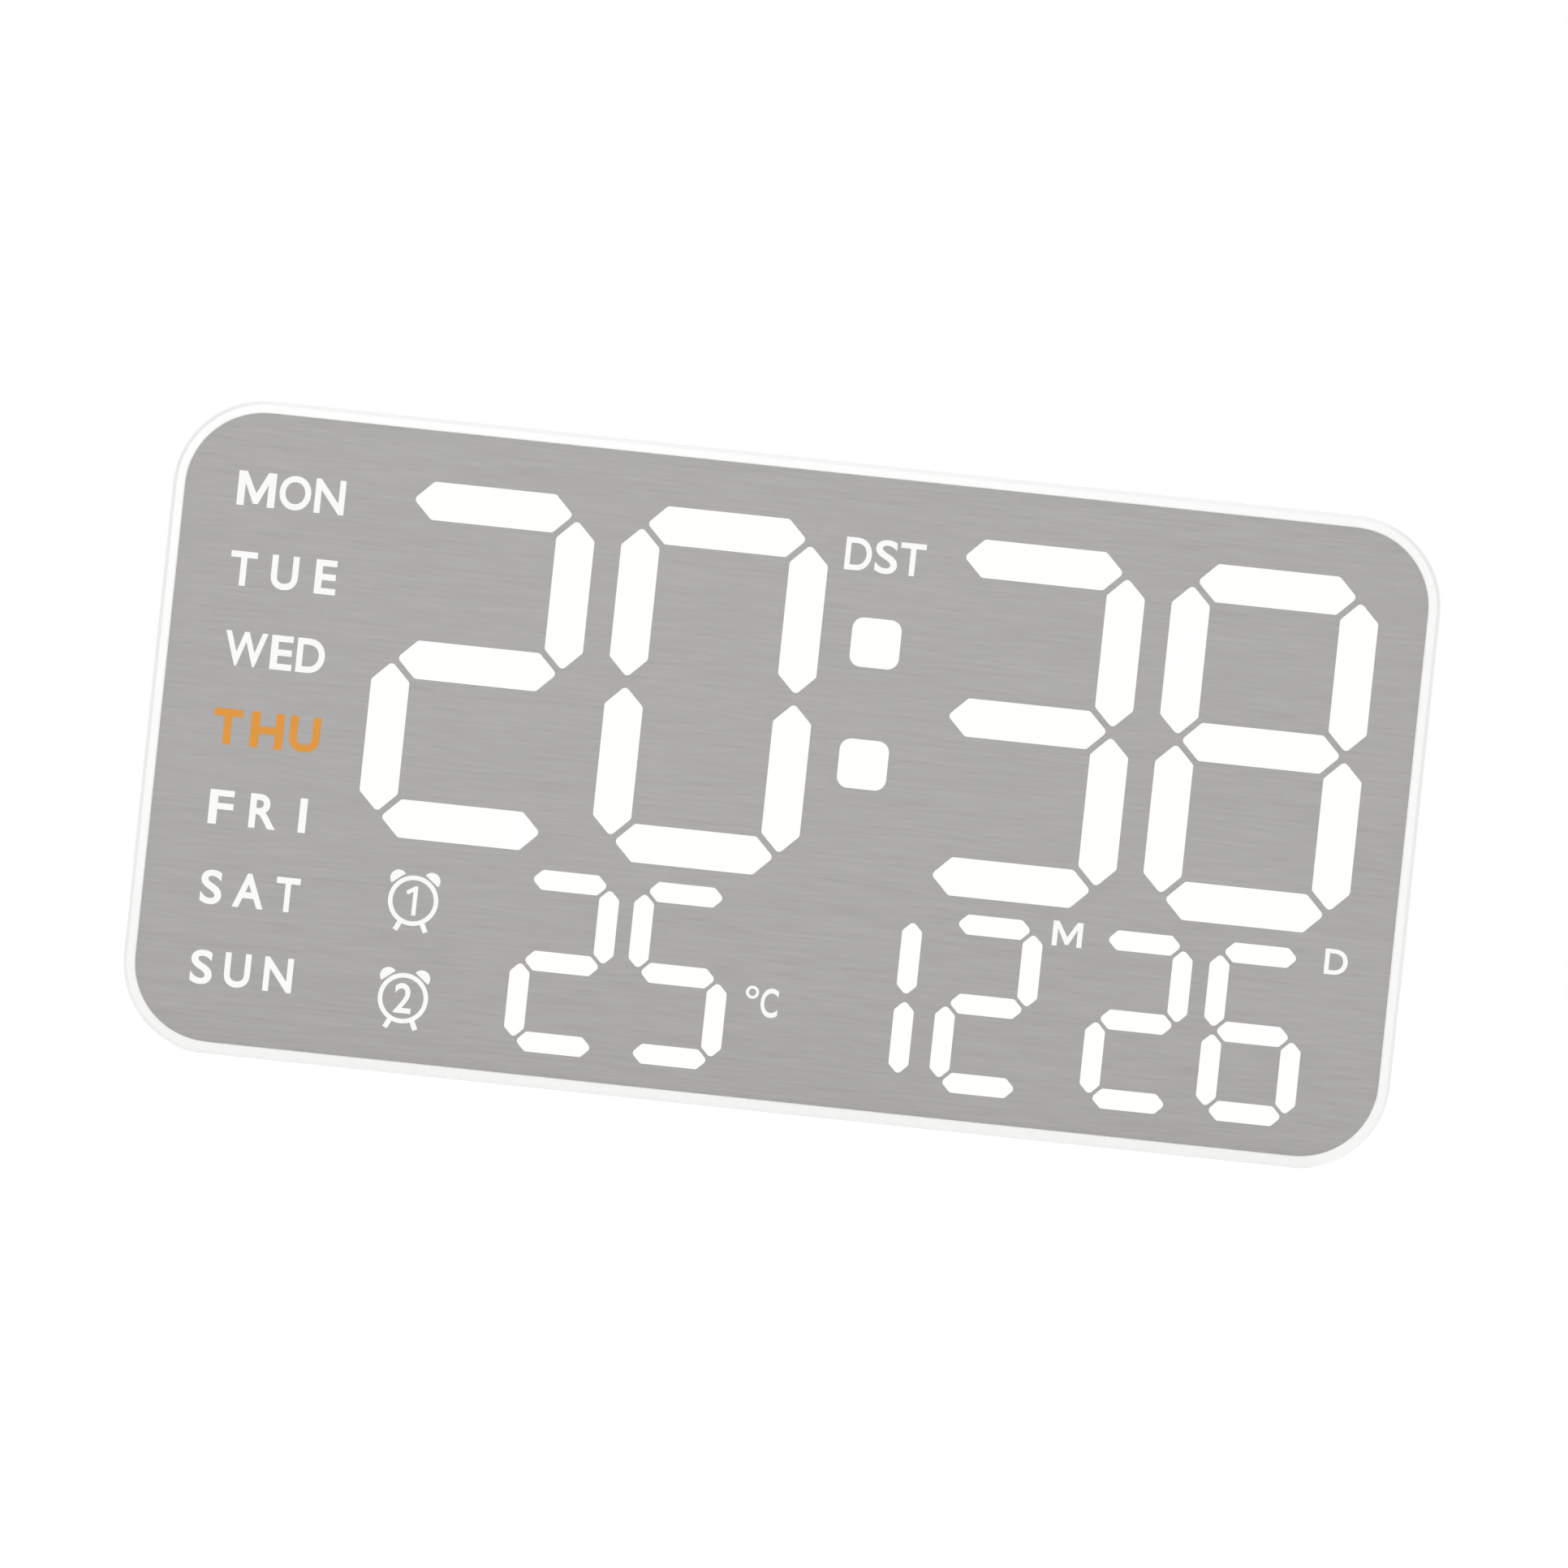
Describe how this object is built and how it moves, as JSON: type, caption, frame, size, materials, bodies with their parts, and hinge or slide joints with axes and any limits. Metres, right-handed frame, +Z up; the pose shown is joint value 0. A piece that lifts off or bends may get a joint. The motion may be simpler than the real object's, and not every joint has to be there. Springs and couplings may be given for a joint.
{
  "type": "digital wall clock",
  "caption": "Flat digital wall clock with a brushed silver face, large lit digits, rear buttons, a sliding battery door, keyholes and a folding leg.",
  "frame": {"origin": "middle of the rear face, which lies on the wall", "axes": "+X to the right as the clock is read, +Z up, +Y into the wall, so the face looks along -Y"},
  "size_m": [0.225, 0.027, 0.1158],
  "materials": {
    "white_shell": "moulded satin",
    "silver_film": "brushed silver",
    "opal_sheet": "opal, lit from behind",
    "tape": "adhesive strip",
    "reflector": "moulded gloss white",
    "board": "solder resist",
    "led": "phosphor",
    "chip": "moulded black",
    "can": "drawn can",
    "sensor": "resin dip",
    "socket": "nickel plated",
    "tongue": "moulded black",
    "screw": "zinc plated",
    "contact": "nickel plated",
    "button": "moulded satin",
    "plunger": "moulded",
    "pad": "matt",
    "pin": "drawn wire"
  },
  "bodies": {
    "case": {"front_frame": "white_shell", "rear_cover": "white_shell", "face_film": "silver_film", "diffuser_panel": "opal_sheet", "panel_tape": "tape", "light_box": "reflector", "led_board": "board", "key_board": "board", "time_leds": "led", "temperature_leds": "led", "date_leds": "led", "sign_leds": "led", "clock_chip": "chip", "driver_chips": "chip", "buzzer": "chip", "key_header": "chip", "crystal": "can", "capacitors": "can", "temperature_sensor": "sensor", "power_socket": "socket", "socket_tongue": "tongue", "switch_bodies": "tongue", "board_screws": "screw", "case_screws": "screw", "key_board_screws": "screw", "battery_springs": "contact", "battery_plates": "contact", "leg_pin": "pin"},
    "battery_door": {"battery_door": "white_shell"},
    "leg": {"leg": "white_shell", "leg_pad": "pad"},
    "set_button": {"set_button": "button", "set_plunger": "plunger"},
    "alarm_button": {"alarm_button": "button", "alarm_plunger": "plunger"},
    "up_button": {"up_button": "button", "up_plunger": "plunger"},
    "down_button": {"down_button": "button", "down_plunger": "plunger"}
  },
  "joints": [
    {"name": "set_press", "type": "slide", "parent": "case", "child": "set_button", "axis": [0, -1, 0], "range_m": [0, 0.0003], "stiffness_N_per_m": 400},
    {"name": "alarm_press", "type": "slide", "parent": "case", "child": "alarm_button", "axis": [0, -1, 0], "range_m": [0, 0.0003], "stiffness_N_per_m": 400},
    {"name": "up_press", "type": "slide", "parent": "case", "child": "up_button", "axis": [0, -1, 0], "range_m": [0, 0.0003], "stiffness_N_per_m": 400},
    {"name": "down_press", "type": "slide", "parent": "case", "child": "down_button", "axis": [0, -1, 0], "range_m": [0, 0.0003], "stiffness_N_per_m": 400},
    {"name": "door_slide", "type": "slide", "parent": "case", "child": "battery_door", "axis": [-1, 0, 0], "range_m": [0, 0.0575]},
    {"name": "leg_hinge", "type": "hinge", "parent": "case", "child": "leg", "pos_m": [0, -0.0027, -0.0039], "axis": [1, 0, 0], "range_deg": [0, 25]}
  ]
}
